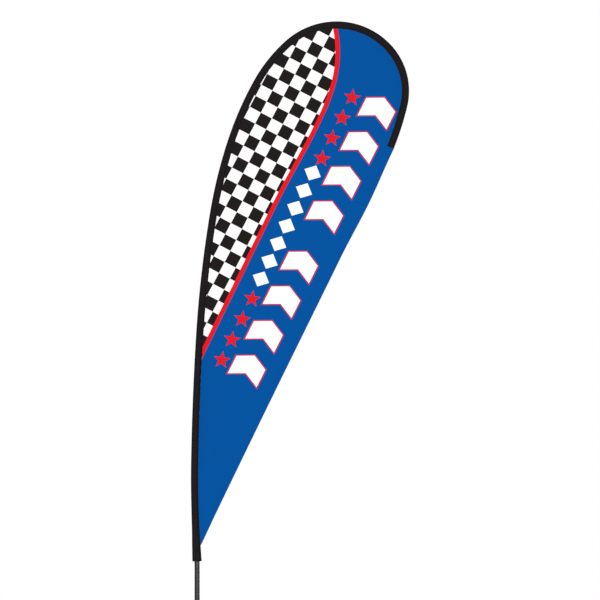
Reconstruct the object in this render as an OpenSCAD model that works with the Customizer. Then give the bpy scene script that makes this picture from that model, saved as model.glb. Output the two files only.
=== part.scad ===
// Teardrop flag on a ground spike: a bent four-piece pole in a cloth sleeve, a printed panel sewn
// to the sleeve, and a ball-bearing spindle that lets the whole flag turn with the wind.
// The frame stands with its origin at ground level on the pole's axis: +Z up, +X towards the belly
// of the flag, and the flag lies in the XZ plane.

/* [Flag outline] */
// Length of the straight stretch of the pole line, from the ground up
straight_foot = 560; // [460:10:680]
// Size of the curved stretch of the pole line, as a share of the standard cut
cut_scale = 1.0; // [0.83:0.01:1.2]
// Height of the sleeve's mouth along the pole line
mouth_station = 600; // [480:10:730]
// Length of sleeve between its mouth and the panel's lowest corner
mouth_to_corner = 68; // [50:1:90]

/* [Cloth] */
// Thickness of the printed panel
panel_t = 1.0; // [0.8:0.1:1.4]
// Thickness of the sleeve's cloth
sleeve_t = 0.8; // [0.6:0.05:1.1]
// Room between the thickest ring on the pole and the inside of the sleeve
sleeve_slack = 0.45; // [0.3:0.05:0.9]
// How far the sleeve's flat seam reaches past its round part
seam_lap = 3.5; // [2.8:0.1:4.5]
// Width of the folded hem along the free edge
leech_hem_w = 12; // [9:0.5:15]
// Thickness of the folded hem behind the panel
leech_hem_t = 0.6; // [0.4:0.1:0.9]
// Depth of the reinforced band round the sleeve's mouth
mouth_hem_len = 32; // [26:1:40]
// How far the sleeve's mouth flares past the seam, at each side
mouth_flare = 1.45; // [1.2:0.05:1.75]
// How far it flares past the sleeve's round part, front and back
mouth_ease = 0.95; // [0.8:0.05:1.15]

/* [Pole] */
// Outer diameter of the pole's lowest tube
base_tube_d = 20.5; // [17:0.1:24.6]
// Wall of the lowest tube
base_wall = 2.0; // [1.6:0.1:2.5]
// Wall of the second and third tubes
upper_wall = 1.75; // [1.4:0.05:2.1]
// Exposed length of each of the three tubes
section_len = 950; // [790:10:1140]
// Length of each tube's lower end that plugs into the tube below
plug_len = 90; // [70:5:110]
// Radial room between a plugged end and the tube round it
plug_gap = 0.25; // [0.15:0.05:0.3]
// Length of the metal ring on each socket
ferrule_len = 30; // [24:1:36]
// Wall of that ring
ferrule_wall = 1.0; // [0.8:0.1:1.2]
// Wall of the cap on the pole's tip
tip_cap_side = 0.95; // [0.75:0.05:1.15]
// Length of that cap
tip_cap_len = 20; // [16:1:24]
// Height of the ring on the pole's foot
end_ring_len = 25; // [20:1:30]
// Wall of that ring
end_ring_wall = 2.25; // [1.8:0.05:2.7]

/* [Spindle] */
// Length of the spindle above its flange
spindle_len = 249; // [205:1:300]
// Radial room between the spindle and the pole's bore
spindle_gap = 0.08; // [0.05:0.01:0.1]
// Radius of the flange that the pole stands on
flange_r = 17; // [15:0.5:20.5]
// Thickness of that flange
flange_t = 5; // [4:0.5:6]
// Thickness of the rubber of each O-ring
o_ring_wire = 1.6; // [1.3:0.1:1.9]

/* [Bearings] */
// Bore of each ball bearing
bearing_bore = 12; // [10:0.1:14.4]
// Outer diameter of each ball bearing
bearing_od = 28; // [26:0.1:33.6]
// Width of each ball bearing
bearing_w = 8; // [7:0.5:9.5]
// Diameter of each ball
ball_d = 4.76; // [4:0.1:5]
// Distance between the two bearings
spacer_len = 10; // [8:1:12]

/* [Ground base] */
// Diameter of the spike's rod
spike_d = 16; // [14:1:19]
// Length of the rod's round stretch below the foot plate
spike_len = 380; // [320:10:450]
// Length of the rod's point
spike_point_len = 40; // [34:1:48]
// Long side of the foot plate
plate_l = 140; // [120:1:168]
// Short side of the foot plate
plate_w = 70; // [60:1:84]
// Thickness of the foot plate
plate_t = 5; // [4:0.5:6]
// Wall of the bearing housing
housing_wall = 6; // [5:0.5:7]

/* [Hidden] */

round_fn = 64;
cut = 1;

// The pole line: stretches of [length, turn in degrees], each tangent to the one before. It stands
// straight, leans back a little as the tip pulls it, then bends over ever more tightly.
BENDS = [[140, -3.5], [300, 4.5], [500, 2.5], [500, 6], [300, 9], [250, 10.5], [200, 19],
  [200, 39], [250, 50.5], [250, 56], [175, 8.5]];
LINE = concat([[straight_foot, 0]], [for (b = BENDS) [b[0] * cut_scale, b[1]]]);

// Where a stretch ends, from where it starts: [x, z, heading], heading 0 being straight up.
function after(p, stretch) =
  let (h = p[2], turn = stretch[1], len = stretch[0])
  turn == 0 ? [p[0] + len * sin(h), p[1] + len * cos(h), h] :
  let (r = len / turn * 180 / PI)
  [p[0] + r * (cos(h) - cos(h + turn)), p[1] + r * (sin(h + turn) - sin(h)), h + turn];
// Pose and station, the length along the line from the ground, at the start of stretch i
function pose_of(i) = i == 0 ? [0, 0, 0] : after(pose_of(i - 1), LINE[i - 1]);
function station_of(i) = i == 0 ? 0 : station_of(i - 1) + LINE[i - 1][0];
// The first run of stretch i, with its share of the turn
function share_of(i, run) = [run, LINE[i][1] * run / LINE[i][0]];
function stretch_at(s, i = 0) =
  i >= len(LINE) - 1 || s < station_of(i + 1) ? i : stretch_at(s, i + 1);
function pose_at(s) =
  let (i = stretch_at(s))
  after(pose_of(i), share_of(i, s - station_of(i)));
// Point beside the line at station s, d to the right of its heading, as [x, z]
function beside(s, d) =
  let (p = pose_at(s))
  [p[0] + d * cos(p[2]), p[1] - d * sin(p[2])];

// Heights in the base, from the ground up
housing_step = 5;
housing_lip = 4;
snap_t = 1.2;
snap_room = 0.1;
collar_rise = 10;
lower_bearing_z = plate_t + housing_step;
spacer_z = lower_bearing_z + bearing_w;
upper_bearing_z = spacer_z + spacer_len;
bearings_top = upper_bearing_z + bearing_w;
housing_top = bearings_top + housing_lip;
flange_z = bearings_top + collar_rise;

// Stations along the pole line
line_len = station_of(len(LINE));
foot_station = flange_z + flange_t;
spindle_top = foot_station + spindle_len;
base_end = foot_station + section_len;
second_end = base_end + section_len;
third_end = second_end + section_len;
sleeve_end = line_len - 5;
corner_station = mouth_station + mouth_to_corner;
end_wall = 3;
pocket_floor = 4;
tip_cap_wall = 2;
tip_end = sleeve_end - end_wall - pocket_floor;
rim_t = 4;
rim_top = mouth_station + mouth_hem_len;

// Radii of the pole's pieces, each from the bore that it plugs into
base_r = base_tube_d / 2;
base_bore = base_r - base_wall;
second_r = base_bore - plug_gap;
second_bore = second_r - upper_wall;
third_r = second_bore - plug_gap;
third_bore = third_r - upper_wall;
tip_r = third_bore - plug_gap;
tip_cap_bore = tip_r + plug_gap;
tip_cap_r = tip_cap_bore + tip_cap_side;
ferrule_gap = 0.05;

// Sleeve, in the cross-section across the pole line
sleeve_bore = base_r + ferrule_gap + ferrule_wall + sleeve_slack;
sleeve_r = sleeve_bore + sleeve_t;
seam_x = sleeve_r + seam_lap;
seam_half_t = 1;
tail_angle = acos(sleeve_r / seam_x) - 4;
mouth_half_w = seam_x + mouth_flare;
mouth_half_d = sleeve_r + mouth_ease;

// Radii in the base
journal_r = bearing_bore / 2;
seat_r = bearing_od / 2;
pitch_r = (journal_r + seat_r) / 2;
ball_r = ball_d / 2;
ball_room = 0.07;
balls = 8;
ring_land = 0.7;
inner_ring_r = pitch_r - ball_r + ring_land;
outer_ring_r = pitch_r + ball_r - ring_land;
housing_r = seat_r + housing_wall;
shoulder_r = journal_r + 2.5;
spindle_r = base_bore - spindle_gap;

// --- Building along the pole line ---

// Puts its children at station s, with their Z along the line and X to its right
module at(s) {
  p = pose_at(s);
  translate([p[0], 0, p[1]])
    rotate([0, p[2], 0])
      children();
}

// Stations of a sweep's rings from s0 to s1: each stretch is cut so that no step turns by more
// than turn_step degrees or runs further than ring_step
ring_step = 110;
function rings_in(i, a, b, turn_step) =
  let (turn = abs(share_of(i, b - a)[1]))
  max(ceil(turn / turn_step), ceil((b - a) / ring_step));
function ring_stations(s0, s1, turn_step) =
  concat([s0], [for (i = [0 : len(LINE) - 1])
    let (a = max(s0, station_of(i)), b = min(s1, station_of(i + 1)))
      if (b > a)
        let (n = rings_in(i, a, b, turn_step))
          for (k = [1 : n]) a + (b - a) * k / n]);

// A 2D outline stood across the line at station s
function ring_at(s, outline) =
  let (p = pose_at(s))
  [for (q = outline) [p[0] + q[0] * cos(p[2]), q[1], p[1] - q[0] * sin(p[2])]];

// Two triangles for the quad a, b, c, d, which runs clockwise seen from outside
function quad(a, b, c, d) = [[a, b, c], [a, c, d]];

// Tube through two lists of rings, whose outlines are anticlockwise and have as many points
module sweep_tube(outer, inner) {
  m = len(outer[0]);
  last = len(outer) - 1;
  points = [for (k = [0 : last]) each concat(outer[k], inner[k])];
  sides = [for (k = [0 : last - 1], j = [0 : m - 1])
    let (here = 2 * m * k, next = here + 2 * m, j2 = (j + 1) % m)
      each concat(quad(here + j, next + j, next + j2, here + j2),
        quad(here + m + j, here + m + j2, next + m + j2, next + m + j))];
  ends = [for (j = [0 : m - 1])
    let (top = 2 * m * last, j2 = (j + 1) % m)
      each concat(quad(j, j2, m + j2, m + j),
        quad(top + j, top + m + j, top + m + j2, top + j2))];
  polyhedron(points, concat(sides, ends));
}

// Rod through a list of rings
module sweep_rod(rings) {
  m = len(rings[0]);
  last = len(rings) - 1;
  sides = [for (k = [0 : last - 1], j = [0 : m - 1])
    let (here = m * k, next = here + m, j2 = (j + 1) % m)
      each quad(here + j, next + j, next + j2, here + j2)];
  ends = [[for (j = [0 : m - 1]) j], [for (j = [m - 1 : -1 : 0]) m * last + j]];
  polyhedron([for (r = rings) each r], concat(sides, ends));
}

// The pole's tubes all bend at the same stations, so that a tube and the ring or tube round it
// have parallel walls wherever each of them ends
tube_sides = 20;
tube_turn = 2.5;
TUBE_BENDS = ring_stations(0, line_len, tube_turn);
function round_outline(r) = [for (j = [0 : tube_sides - 1])
  r * [cos(j * 360 / tube_sides), sin(j * 360 / tube_sides)]];
// Ring of a tube of radius r at station s, on the straight run between the bends beside it
function tube_ring(s, r) =
  let (k = min(len([for (b = TUBE_BENDS) if (b <= s) b]), len(TUBE_BENDS) - 1),
    low = TUBE_BENDS[k - 1], high = TUBE_BENDS[k], share = (s - low) / (high - low))
  (1 - share) * ring_at(low, round_outline(r)) + share * ring_at(high, round_outline(r));
function tube_rings(s0, s1, r) = concat([tube_ring(s0, r)],
  [for (b = TUBE_BENDS) if (b > s0 && b < s1) ring_at(b, round_outline(r))],
  [tube_ring(s1, r)]);

// Bent tube of the pole
module bent_tube(s0, s1, outer_r, inner_r) {
  sweep_tube(tube_rings(s0, s1, outer_r), tube_rings(s0, s1, inner_r));
}

// Bent cup, open at its lower end s0 and closed by a floor below s1
module bent_cup(s0, s1, floor_t, outer_r, inner_r) {
  difference() {
    sweep_rod(tube_rings(s0, s1, outer_r));
    sweep_rod(tube_rings(s0 - cut, s1 - floor_t, inner_r));
  }
}

// Ring cross-section for tubes
module ring(outer, inner) {
  difference() {
    circle(outer, $fn = round_fn);
    circle(inner, $fn = round_fn);
  }
}

// Plain ring standing on height z
module upright_ring(z, h, outer, inner) {
  translate([0, 0, z])
    linear_extrude(h)
      ring(outer, inner);
}

// --- Ground base ---

spike_r = spike_d / 2;
tenon_r = spike_r - 2;

// Rod with a thinner tenon that stands in the plate
module spike_rod() {
  color("dimgray")
    rotate_extrude($fn = round_fn)
      polygon([[0, -spike_len - spike_point_len], [spike_r, -spike_len], [spike_r, 0],
        [tenon_r, 0], [tenon_r, plate_t], [0, plate_t]]);
}

// Plate that is trodden down to the ground, with a bevelled hole for the tenon and its weld
module foot_plate() {
  end_r = plate_w / 2;
  end_y = plate_l / 2 - end_r;
  bevel_h = 1;
  bevel_r = spike_r + 0.6;
  slope = (bevel_r - tenon_r) / bevel_h;
  color("dimgray")
    difference() {
      linear_extrude(plate_t)
        union() {
          square([plate_w, 2 * end_y], center = true);
          for (side = [-1, 1])
            translate([0, side * end_y]) circle(end_r, $fn = round_fn);
        }
      translate([0, 0, -cut])
        cylinder(h = plate_t + 2 * cut, r = tenon_r, $fn = round_fn);
      translate([0, 0, -cut])
        cylinder(h = bevel_h + cut, r1 = bevel_r + slope * cut, r2 = tenon_r, $fn = round_fn);
    }
}

// Two ribs that brace the housing against the plate's long ends
module gussets() {
  rib_t = 4;
  rib_reach = housing_r + 22;
  rib_top = upper_bearing_z + 2;
  color("dimgray")
    difference() {
      for (side = [0, 180])
        rotate([0, 0, 90 + side])
          translate([0, rib_t / 2, 0])
            rotate([90, 0, 0])
              linear_extrude(rib_t)
                polygon([[housing_r - 2, plate_t], [rib_reach, plate_t],
                  [rib_reach, plate_t + 2], [housing_r - 2, rib_top]]);
      cylinder(h = housing_top, r = housing_r, $fn = round_fn);
    }
}

// Cup for the bearings, with a step below the lower one and a groove for the ring above the upper
module bearing_housing() {
  groove_r = seat_r + 0.9;
  step_r = seat_r - 2;
  groove_z = bearings_top;
  groove_top = bearings_top + snap_t + 2 * snap_room;
  color("dimgray")
    rotate_extrude($fn = round_fn)
      polygon([[step_r, plate_t], [housing_r, plate_t], [housing_r, housing_top],
        [seat_r, housing_top], [seat_r, groove_top], [groove_r, groove_top],
        [groove_r, groove_z], [seat_r, groove_z], [seat_r, lower_bearing_z],
        [step_r, lower_bearing_z]]);
}

// Split ring; its gap faces away from the belly
module snap_ring(z, outer, inner, gap) {
  translate([0, 0, z])
    linear_extrude(snap_t)
      difference() {
        ring(outer, inner);
        translate([-outer, 0]) square([outer, gap], center = true);
      }
}

module housing_snap_ring() {
  color("silver")
    snap_ring(bearings_top + snap_room, seat_r + 0.8, seat_r - 2, 8);
}

module outer_spacer() {
  color("silver")
    upright_ring(spacer_z, spacer_len, seat_r, seat_r - 1.5);
}

// --- Ball bearings, each standing on height z ---

module ball_track(z, room) {
  translate([0, 0, z + bearing_w / 2])
    rotate_extrude($fn = round_fn)
      translate([pitch_r, 0]) circle(ball_r + room, $fn = round_fn);
}

module bearing_outer_ring(z) {
  difference() {
    upright_ring(z, bearing_w, seat_r, outer_ring_r);
    ball_track(z, ball_room);
  }
}

module bearing_inner_ring(z) {
  difference() {
    upright_ring(z, bearing_w, inner_ring_r, journal_r);
    ball_track(z, ball_room);
  }
}

module bearing_balls(z, r) {
  for (i = [0 : balls - 1])
    rotate([0, 0, i * 360 / balls])
      translate([pitch_r, 0, z + bearing_w / 2])
        sphere(r, $fn = round_fn);
}

module bearing_cage(z) {
  cage_h = 6;
  cage_half_w = 1.1;
  difference() {
    upright_ring(z + (bearing_w - cage_h) / 2, cage_h, pitch_r + cage_half_w,
      pitch_r - cage_half_w);
    bearing_balls(z, ball_r + ball_room);
  }
}

module lower_bearing_outer_ring() { color("silver") bearing_outer_ring(lower_bearing_z); }

module upper_bearing_outer_ring() { color("silver") bearing_outer_ring(upper_bearing_z); }

module lower_bearing_inner_ring() { color("silver") bearing_inner_ring(lower_bearing_z); }

module upper_bearing_inner_ring() { color("silver") bearing_inner_ring(upper_bearing_z); }

module lower_bearing_balls() { color("white") bearing_balls(lower_bearing_z, ball_r); }

module upper_bearing_balls() { color("white") bearing_balls(upper_bearing_z, ball_r); }

module lower_bearing_cage() { color("ivory") bearing_cage(lower_bearing_z); }

module upper_bearing_cage() { color("ivory") bearing_cage(upper_bearing_z); }

// Rubber disc pressed into the upper bearing's outer ring
module upper_bearing_seal() {
  seal_t = 0.8;
  lip_gap = 0.12;
  color("black")
    upright_ring(bearings_top - seal_t, seal_t, outer_ring_r, shoulder_r + lip_gap);
}

// --- Rotator ---

// Turned shaft: journal, shoulder, the flange that the pole stands on, and the spindle above it
module spindle_shaft() {
  bevel_h = 12;
  bevel_w = 3;
  foot_gap = 1.5;
  snap_groove_r = journal_r - 0.7;
  groove_top = lower_bearing_z;
  groove_z = groove_top - snap_t - 2 * snap_room;
  color("silver")
    difference() {
      rotate_extrude($fn = round_fn)
        polygon([[0, plate_t + foot_gap], [journal_r, plate_t + foot_gap],
          [journal_r, groove_z], [snap_groove_r, groove_z], [snap_groove_r, groove_top],
          [journal_r, groove_top], [journal_r, bearings_top], [shoulder_r, bearings_top],
          [shoulder_r, flange_z], [flange_r, flange_z], [flange_r, foot_station],
          [spindle_r, foot_station], [spindle_r, spindle_top - bevel_h],
          [spindle_r - bevel_w, spindle_top], [0, spindle_top]]);
      for (z = O_RING_Z)
        upright_ring(z - o_groove_h / 2, o_groove_h, spindle_r + cut, o_groove_r);
    }
}

// O-rings at three heights on the spindle, each in a groove that is a little wider than its rubber
O_RING_Z = [for (share = [0.15, 0.5, 0.85]) foot_station + share * spindle_len];
o_room = 0.03;
o_centre_r = base_bore - o_room - o_ring_wire / 2;
o_groove_r = o_centre_r - o_ring_wire / 2 - o_room;
o_groove_h = o_ring_wire + 0.3;

module o_rings() {
  color("black")
    for (z = O_RING_Z)
      translate([0, 0, z])
        rotate_extrude($fn = round_fn)
          translate([o_centre_r, 0]) circle(o_ring_wire / 2, $fn = round_fn);
}

module inner_spacer() {
  color("silver")
    upright_ring(spacer_z, spacer_len, inner_ring_r, journal_r);
}

module shaft_snap_ring() {
  color("silver")
    snap_ring(lower_bearing_z - snap_t - snap_room, journal_r + 2.2, journal_r - 0.6, 5);
}

// Cap on the shaft's shoulder; its skirt hangs round the housing and keeps rain and soil out
module dust_cap() {
  disc_z = housing_top + 1;
  skirt_gap = 0.8;
  skirt_t = 2.4;
  skirt_drop = 6;
  inner = housing_r + skirt_gap;
  color("black")
    rotate_extrude($fn = round_fn)
      polygon([[shoulder_r, disc_z], [inner, disc_z], [inner, housing_top - skirt_drop],
        [inner + skirt_t, housing_top - skirt_drop], [inner + skirt_t, flange_z - 1.5],
        [inner + skirt_t - 1.5, flange_z], [shoulder_r, flange_z]]);
}

// --- Pole ---

module pole_end_ring() {
  color("black")
    upright_ring(foot_station, end_ring_len, base_r + end_ring_wall, base_r);
}

// Lowest tube: its straight part, with the bore that the spindle fits, and its bent top, whose
// flat sides stay just within the round wall that it grows out of
module base_section() {
  inset = 0.06;
  color([0.16, 0.16, 0.17]) {
    upright_ring(foot_station, straight_foot - foot_station, base_r, base_bore);
    bent_tube(straight_foot, base_end, base_r - inset,
      (base_bore + inset) / cos(180 / tube_sides));
  }
}

// Metal ring round the mouth of a socket
module ferrule(station, tube_r) {
  bore = tube_r + ferrule_gap;
  color("gray")
    bent_tube(station - ferrule_len, station, bore + ferrule_wall, bore);
}

module base_ferrule() { ferrule(base_end, base_r); }

module second_ferrule() { ferrule(second_end, second_r); }

module third_ferrule() { ferrule(third_end, third_r); }

module second_section() {
  color([0.2, 0.2, 0.2])
    bent_tube(base_end - plug_len, second_end, second_r, second_bore);
}

module third_section() {
  color([0.2, 0.2, 0.2])
    bent_tube(second_end - plug_len, third_end, third_r, third_bore);
}

module tip_section() {
  color([0.25, 0.25, 0.25])
    sweep_rod(tube_rings(third_end - plug_len, tip_end - tip_cap_wall, tip_r));
}

// Soft cap that keeps the rod's end from wearing through the cloth
module tip_cap() {
  color("black")
    bent_cup(tip_end - tip_cap_len, tip_end, tip_cap_wall, tip_cap_r, tip_cap_bore);
}

// --- Tensioner inside the sleeve's mouth: the sleeve is pulled down and hooked on the pole.
// Its pieces hang from the mouth's rim, so heights here count down from the rim's top ---

collar_top = mouth_hem_len - 15;
collar_len = 12;
collar_wall = 1.2;
collar_r = base_r + plug_gap + collar_wall;
loop_t = 1.2;
loop_half_w = 5;
loop_x = collar_r + 0.7;
nose_t = 3;

// Ring glued on the pole, with a nose whose lip points down
module tension_collar() {
  nose_h = 7;
  nose_half_w = 2.5;
  lip_x = loop_x + loop_t + 0.4;
  lip_t = 1;
  root_x = collar_r - collar_wall / 2;
  collar_end = rim_top - collar_top;
  color("black") {
    bent_tube(collar_end - collar_len, collar_end, collar_r, collar_r - collar_wall);
    at(rim_top)
      translate([0, 0, -collar_top]) {
        translate([root_x, -nose_half_w, -nose_t])
          cube([lip_x + lip_t - root_x, 2 * nose_half_w, nose_t]);
        translate([lip_x, -nose_half_w, -nose_h])
          cube([lip_t, 2 * nose_half_w, nose_h]);
      }
  }
}

// Webbing loop sewn to the mouth's rim; its lower bar catches under the nose
module tension_loop() {
  bar = 1.4;
  loop_len = collar_top + nose_t + bar + 0.3 - rim_t;
  color("black")
    at(rim_top)
      translate([loop_x, 0, -rim_t - loop_len])
        difference() {
          translate([0, -loop_half_w, 0])
            cube([loop_t, 2 * loop_half_w, loop_len]);
          translate([-cut, bar - loop_half_w, bar])
            cube([loop_t + 2 * cut, 2 * (loop_half_w - bar), loop_len - 2 * bar]);
        }
}

// --- Flag ---

// Cross-section of the sleeve: round at the pole, drawn in to a flat seam towards the panel
round_points = 14;
function sleeve_outline(r, tip_x, tip_half_t) = concat(
  [for (j = [0 : round_points - 1])
    let (a = tail_angle + j * (360 - 2 * tail_angle) / (round_points - 1))
      r * [cos(a), sin(a)]],
  [[tip_x, -tip_half_t], [tip_x, tip_half_t]]);
SLEEVE_OUTSIDE = sleeve_outline(sleeve_r, seam_x, seam_half_t);
SLEEVE_INSIDE = sleeve_outline(sleeve_bore, seam_x - 1.8, 0.2);
sleeve_turn = 4;

module pole_sleeve() {
  stations = ring_stations(rim_top, sleeve_end - end_wall, sleeve_turn);
  color([0.13, 0.11, 0.12])
    sweep_tube([for (s = stations) ring_at(s, SLEEVE_OUTSIDE)],
      [for (s = stations) ring_at(s, SLEEVE_INSIDE)]);
}

// Patch that closes the sleeve's far end
module sleeve_end_patch() {
  color([0.13, 0.11, 0.12])
    at(sleeve_end - end_wall)
      linear_extrude(end_wall) polygon(SLEEVE_OUTSIDE);
}

module mouth_outline(inset) {
  end_x = mouth_half_w - mouth_half_d;
  end_r = mouth_half_d - inset;
  square([2 * end_x, 2 * end_r], center = true);
  for (side = [-1, 1])
    translate([side * end_x, 0]) circle(end_r, $fn = round_fn);
}

// Flared band round the mouth; the rim at its top is sewn to the sleeve
module sleeve_mouth_hem() {
  mouth_wall = 1;
  color([0.13, 0.11, 0.12])
    at(rim_top)
      translate([0, 0, -mouth_hem_len]) {
        linear_extrude(mouth_hem_len - rim_t)
          difference() {
            mouth_outline(0);
            mouth_outline(mouth_wall);
          }
        translate([0, 0, mouth_hem_len - rim_t])
          linear_extrude(rim_t)
            difference() {
              mouth_outline(0);
              polygon(SLEEVE_INSIDE);
            }
      }
}

// Padded cup in the sleeve's end that the pole's tip pushes into
module tip_pocket() {
  pocket_len = 34;
  socket_r = tip_cap_r + 0.3;
  pocket_r = socket_r + 2.2;
  color("black")
    bent_cup(sleeve_end - end_wall - pocket_len, sleeve_end - end_wall, pocket_floor, pocket_r,
      socket_r);
}

// Outline of the panel in the XZ plane: up the seam, across the sleeve's end, and straight down
SEAM = [for (s = ring_stations(corner_station, sleeve_end - end_wall, sleeve_turn))
  beside(s, seam_x)];
lower_corner = SEAM[0];
upper_corner = beside(sleeve_end, -sleeve_r);

// Stands 2D children, drawn as X and Z, upright from depth y to y + t
module standing(y, t) {
  translate([0, y + t, 0])
    rotate([90, 0, 0])
      linear_extrude(t) children();
}

module printed_panel() {
  color([0.0, 0.33, 0.64])
    standing(-panel_t / 2, panel_t)
      polygon(concat(SEAM, [beside(sleeve_end, seam_x), upper_corner]));
}

// Fold behind the free edge
module leech_hem() {
  run = upper_corner - lower_corner;
  dir = run / norm(run);
  inward = [-dir[1], dir[0]] * leech_hem_w;
  corner_gap = leech_hem_w * 2.5;
  low = lower_corner + dir * corner_gap;
  high = upper_corner - dir * corner_gap;
  color([0.0, 0.33, 0.64])
    standing(panel_t / 2, leech_hem_t)
      polygon([low, high, high + inward, low + inward]);
}

spike_rod();
foot_plate();
gussets();
bearing_housing();
lower_bearing_outer_ring();
upper_bearing_outer_ring();
outer_spacer();
housing_snap_ring();
upper_bearing_seal();
spindle_shaft();
lower_bearing_inner_ring();
upper_bearing_inner_ring();
inner_spacer();
shaft_snap_ring();
dust_cap();
o_rings();
lower_bearing_balls();
lower_bearing_cage();
upper_bearing_balls();
upper_bearing_cage();
pole_end_ring();
base_section();
base_ferrule();
second_section();
second_ferrule();
third_section();
third_ferrule();
tip_section();
tip_cap();
tension_collar();
tension_loop();
pole_sleeve();
sleeve_mouth_hem();
sleeve_end_patch();
tip_pocket();
printed_panel();
leech_hem();
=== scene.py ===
# %% [markdown]
# # A teardrop flag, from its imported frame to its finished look
# The flag is a printed cloth on a bent pole that turns on a ground spike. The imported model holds
# every piece that has a working size: the spike, the bearings, the spindle and the pole. Cloth is
# only a plain solid there, so this lesson makes the cloth, its sewing and every finish.
# We load the frame first, because each new piece takes its place from it.

# %% Load the frame
import math

import bpy
import numpy as np
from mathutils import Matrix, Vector, geometry, noise


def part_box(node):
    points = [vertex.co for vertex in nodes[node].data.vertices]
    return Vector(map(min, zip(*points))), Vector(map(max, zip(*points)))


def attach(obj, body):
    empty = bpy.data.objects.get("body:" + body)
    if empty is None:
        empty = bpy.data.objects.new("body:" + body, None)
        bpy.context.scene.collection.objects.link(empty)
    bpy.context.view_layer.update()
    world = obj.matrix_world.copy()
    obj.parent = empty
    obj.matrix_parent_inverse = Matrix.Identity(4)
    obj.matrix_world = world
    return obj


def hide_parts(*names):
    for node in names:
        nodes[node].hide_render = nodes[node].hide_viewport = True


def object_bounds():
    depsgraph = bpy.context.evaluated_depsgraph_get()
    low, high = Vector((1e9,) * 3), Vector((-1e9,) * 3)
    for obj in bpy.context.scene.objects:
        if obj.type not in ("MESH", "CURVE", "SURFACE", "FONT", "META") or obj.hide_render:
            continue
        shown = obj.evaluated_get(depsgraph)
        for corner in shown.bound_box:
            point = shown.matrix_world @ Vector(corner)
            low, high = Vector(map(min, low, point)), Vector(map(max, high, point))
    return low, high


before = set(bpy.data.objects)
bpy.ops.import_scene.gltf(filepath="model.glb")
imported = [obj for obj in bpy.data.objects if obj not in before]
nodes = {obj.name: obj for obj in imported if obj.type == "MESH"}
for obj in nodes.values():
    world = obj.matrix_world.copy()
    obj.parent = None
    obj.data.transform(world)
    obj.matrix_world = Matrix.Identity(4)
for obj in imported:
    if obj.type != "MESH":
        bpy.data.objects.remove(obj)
cad_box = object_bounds()
MM = 0.001
FLAG = "pole_and_flag"
print("CAD box in mm:", [[round(v / MM) for v in corner] for corner in cad_box])

# %% [markdown]
# ## Camera
# The flag is looked at square on from far away, so a long lens suits it: it keeps the outline
# nearly free of perspective. The view is as wide as the flag and its exposed pole need.

# %% Camera
LENS = 180.0
SENSOR = 36.0
VIEW_WIDTH = 2.400
VIEW_CENTRE = Vector((0.4116, 0, 1.6452))
camera_away = VIEW_WIDTH * LENS / SENSOR
camera = bpy.data.objects.new("camera", bpy.data.cameras.new("camera"))
bpy.context.scene.collection.objects.link(camera)
camera.data.lens = LENS
camera.data.sensor_width = SENSOR
camera.location = VIEW_CENTRE - Vector((0, camera_away, 0))
camera.rotation_euler = (math.pi / 2, 0, 0)
camera.data.clip_end = 100
bpy.context.scene.camera = camera
print("camera stands", camera_away, "m away")

# %% [markdown]
# ## The pole line
# Pole, sleeve and seam all follow one curve. The model describes it as stretches of a length and
# a turn, each tangent to the one before, which is how a bent rod really curves. The same stretches
# are repeated here, and two functions read them: where the line is at a station, and what lies
# beside it. A drawn Bezier curve would also do, but its stations would not be true lengths.

# %% Pole line
STRAIGHT_FOOT = 560 * MM
BENDS = [(140, -3.5), (300, 4.5), (500, 2.5), (500, 6), (300, 9), (250, 10.5), (200, 19),
         (200, 39), (250, 50.5), (250, 56), (175, 8.5)]
stretches = [(STRAIGHT_FOOT, 0.0)] + [(mm * MM, math.radians(turn)) for mm, turn in BENDS]
starts = [(0.0, 0.0, 0.0, 0.0)]


def along(start, length, run, turn):
    """Station, x, z and heading after the first run of a stretch that turns by turn in all."""
    station, x, z, heading = start
    angle = turn * run / length
    if abs(angle) < 1e-9:
        return station + run, x + run * math.sin(heading), z + run * math.cos(heading), heading
    radius = length / turn
    return (station + run, x + radius * (math.cos(heading) - math.cos(heading + angle)),
            z + radius * (math.sin(heading + angle) - math.sin(heading)), heading + angle)


for length, turn in stretches:
    starts.append(along(starts[-1], length, length, turn))
LINE_END = starts[-1][0]


def line_at(station):
    """x, z and heading of the pole line; heading 0 is straight up."""
    i = max(k for k in range(len(stretches)) if starts[k][0] <= station + 1e-9)
    return along(starts[i], stretches[i][0], station - starts[i][0], stretches[i][1])[1:]


def beside(station, across, y=0.0):
    """The point that lies across to the right of the line, and y behind it."""
    x, z, heading = line_at(station)
    return Vector((x + across * math.cos(heading), y, z - across * math.sin(heading)))


print("pole line is", round(LINE_END, 3), "m long and ends at", beside(LINE_END, 0)[:])

# %% [markdown]
# ## Sizes shared by the cloth pieces
# The sleeve is closed by a flat seam on the flag's side of the pole, and the printed cloth is
# caught in that seam. Its free edge runs straight from the lowest corner to the outer corner of
# the sleeve's end, so cloth positions are easiest in two numbers: u up the free edge, and v
# across from it towards the sleeve.

# %% Cloth sizes
MOUTH = 600 * MM
SLEEVE_END = LINE_END - 5 * MM
CORNER = MOUTH + 68 * MM
SLEEVE_OUT = 12.55 * MM
SEAM = 16.05 * MM
corner_low = beside(CORNER, SEAM)
corner_high = beside(SLEEVE_END, -SLEEVE_OUT)
free_edge = corner_high - corner_low
EDGE_LENGTH = free_edge.length
EDGE_U = free_edge.normalized()
EDGE_V = Vector((-EDGE_U.z, 0, EDGE_U.x))


def to_uv(point):
    offset = point - corner_low
    return offset.dot(EDGE_U), offset.dot(EDGE_V)


def from_uv(u, v, y=0.0):
    return corner_low + EDGE_U * u + EDGE_V * v + Vector((0, y, 0))


print("free edge:", round(EDGE_LENGTH, 4), "m, leaning", round(math.degrees(
    math.atan2(EDGE_U.x, EDGE_U.z)), 2), "degrees")

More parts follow.
